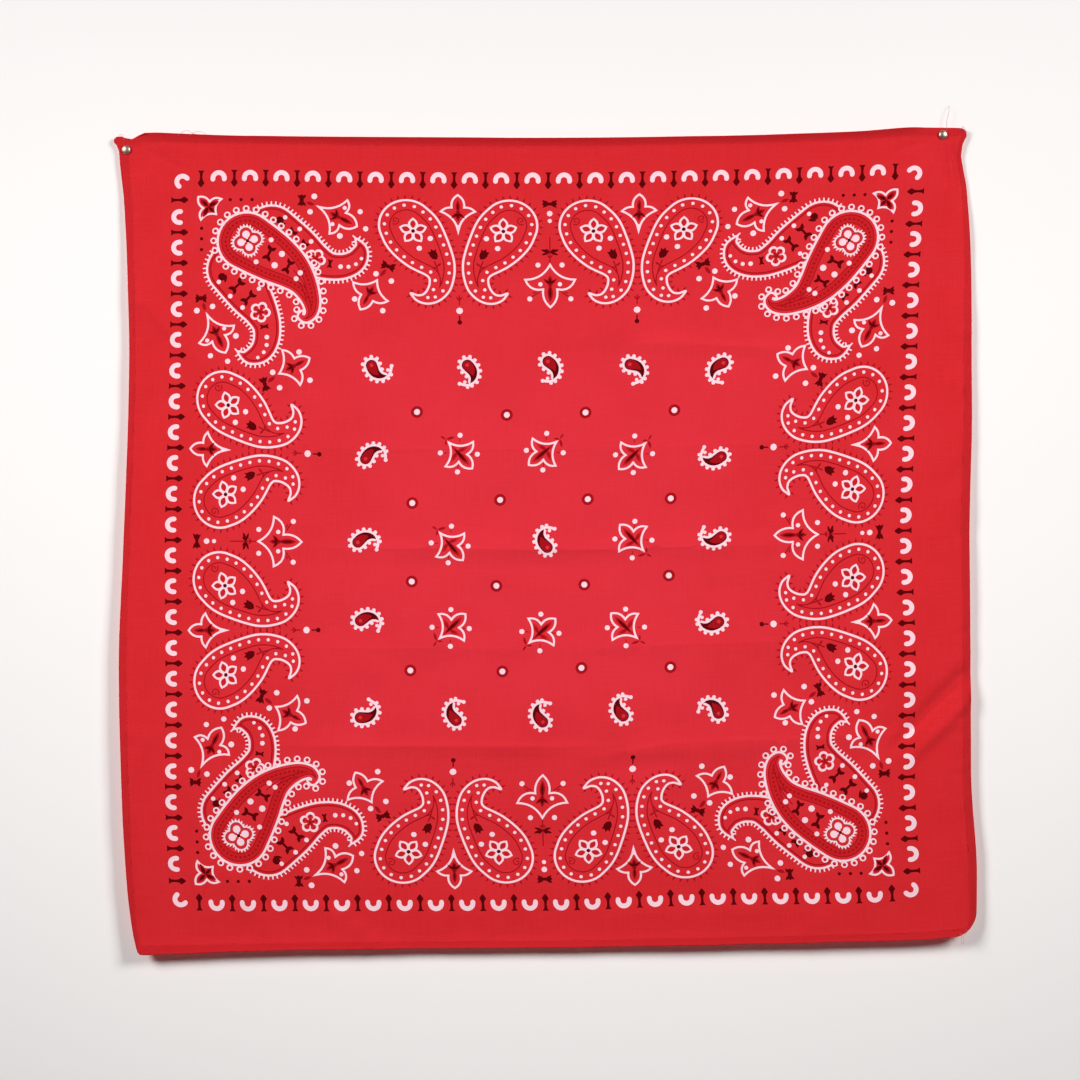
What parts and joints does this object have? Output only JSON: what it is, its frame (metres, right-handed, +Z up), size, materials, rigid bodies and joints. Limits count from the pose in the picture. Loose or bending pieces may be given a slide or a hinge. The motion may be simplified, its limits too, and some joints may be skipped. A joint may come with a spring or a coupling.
{
  "type": "bandana hung by two wall pins",
  "caption": "Square cotton paisley bandana with narrow turned hems, pinned flat to a wall by the two pins at its top corners.",
  "frame": {"origin": "on the wall, midway between the two pins that hold the cloth up", "axes": "+X to the right of someone facing the cloth, +Y into the wall, +Z up; the wall is the plane y = 0 and the printed side faces -Y"},
  "size_m": [0.5695, 0.0204, 0.5452],
  "materials": {
    "cotton": "matt plain-weave cotton, dyed red and printed in white and black",
    "pin_steel": "bright plated steel"
  },
  "bodies": {
    "root": {"panel": "cotton", "hem_top": "cotton", "hem_bottom": "cotton", "hem_left": "cotton", "hem_right": "cotton", "pin_left": "pin_steel", "pin_right": "pin_steel"}
  },
  "joints": []
}
